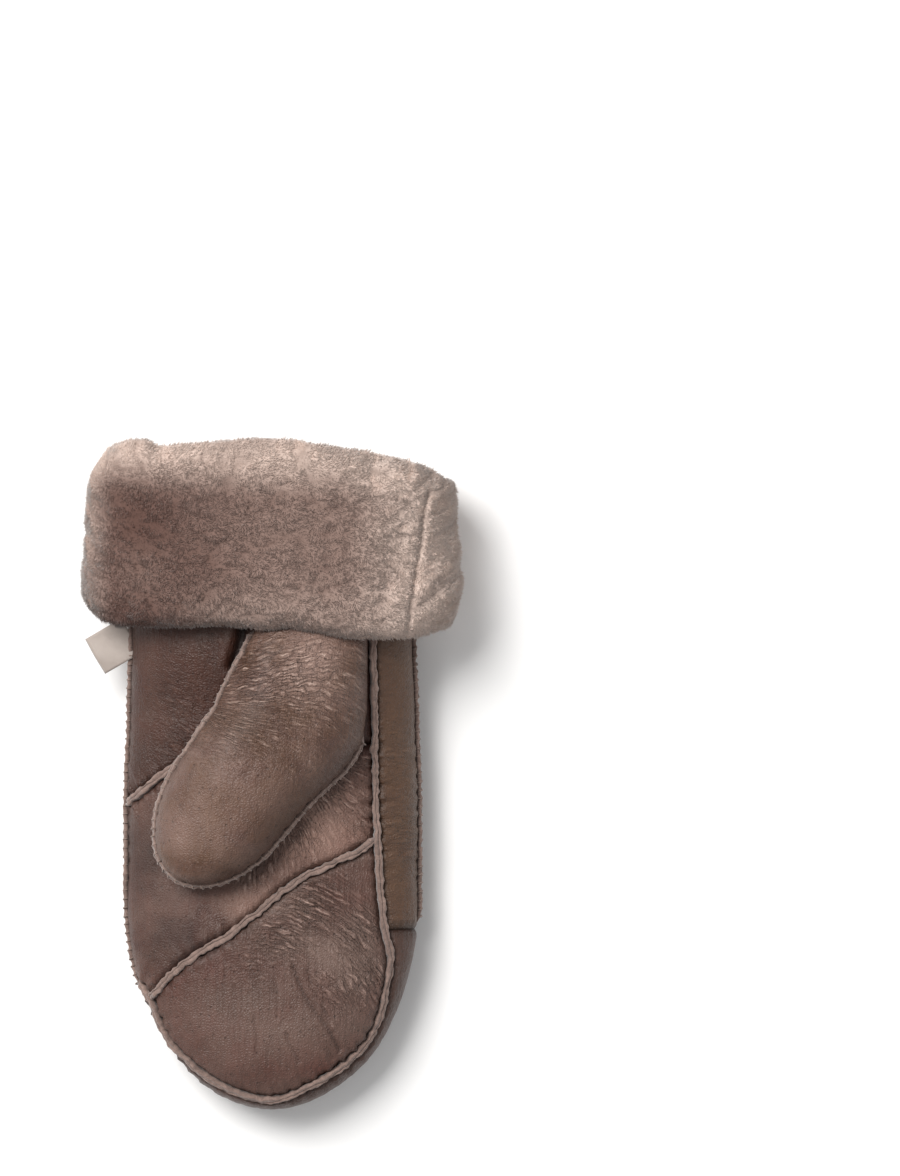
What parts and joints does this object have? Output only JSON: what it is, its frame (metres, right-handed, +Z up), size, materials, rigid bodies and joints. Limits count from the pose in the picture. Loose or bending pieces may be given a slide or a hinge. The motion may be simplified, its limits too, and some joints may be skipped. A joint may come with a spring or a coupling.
{
  "type": "fur mitten",
  "caption": "Brown sheepskin mitten with leather outside, fleece inside, raised raw-edged seams and a deep turned-up fleece cuff, lying palm up.",
  "frame": {"origin": "on the floor under the middle of the mitten's bounding box", "axes": "+Z up out of the palm, +Y from the fingertips to the cuff, +X to the thumb side of the palm"},
  "size_m": [0.1511, 0.27, 0.063],
  "materials": {
    "leather": "smooth napped leather with a soft sheen, creased",
    "seam_edge": "raw cut edge of sheepskin, fibrous",
    "fleece": "curly sheep fleece",
    "ribbon": "satin ribbon, bare"
  },
  "bodies": {
    "root": {"palm_heel_panel": "leather", "palm_middle_panel": "leather", "palm_finger_panel": "leather", "thumb_outer_panel": "leather", "thumb_inner_panel": "leather", "side_strip_palm": "leather", "side_strip_back": "leather", "tip_strip": "leather", "back_panel_left": "leather", "back_panel_right": "leather", "palm_seam_edge": "seam_edge", "thumb_seam_edge": "seam_edge", "left_side_seam_edge": "seam_edge", "right_side_seam_edge": "seam_edge", "palm_diagonal_seam_edge": "seam_edge", "palm_cross_seam_edge": "seam_edge", "back_centre_seam_edge": "seam_edge", "back_side_seam_edge": "seam_edge", "cuff": "fleece", "label": "ribbon"}
  },
  "joints": []
}
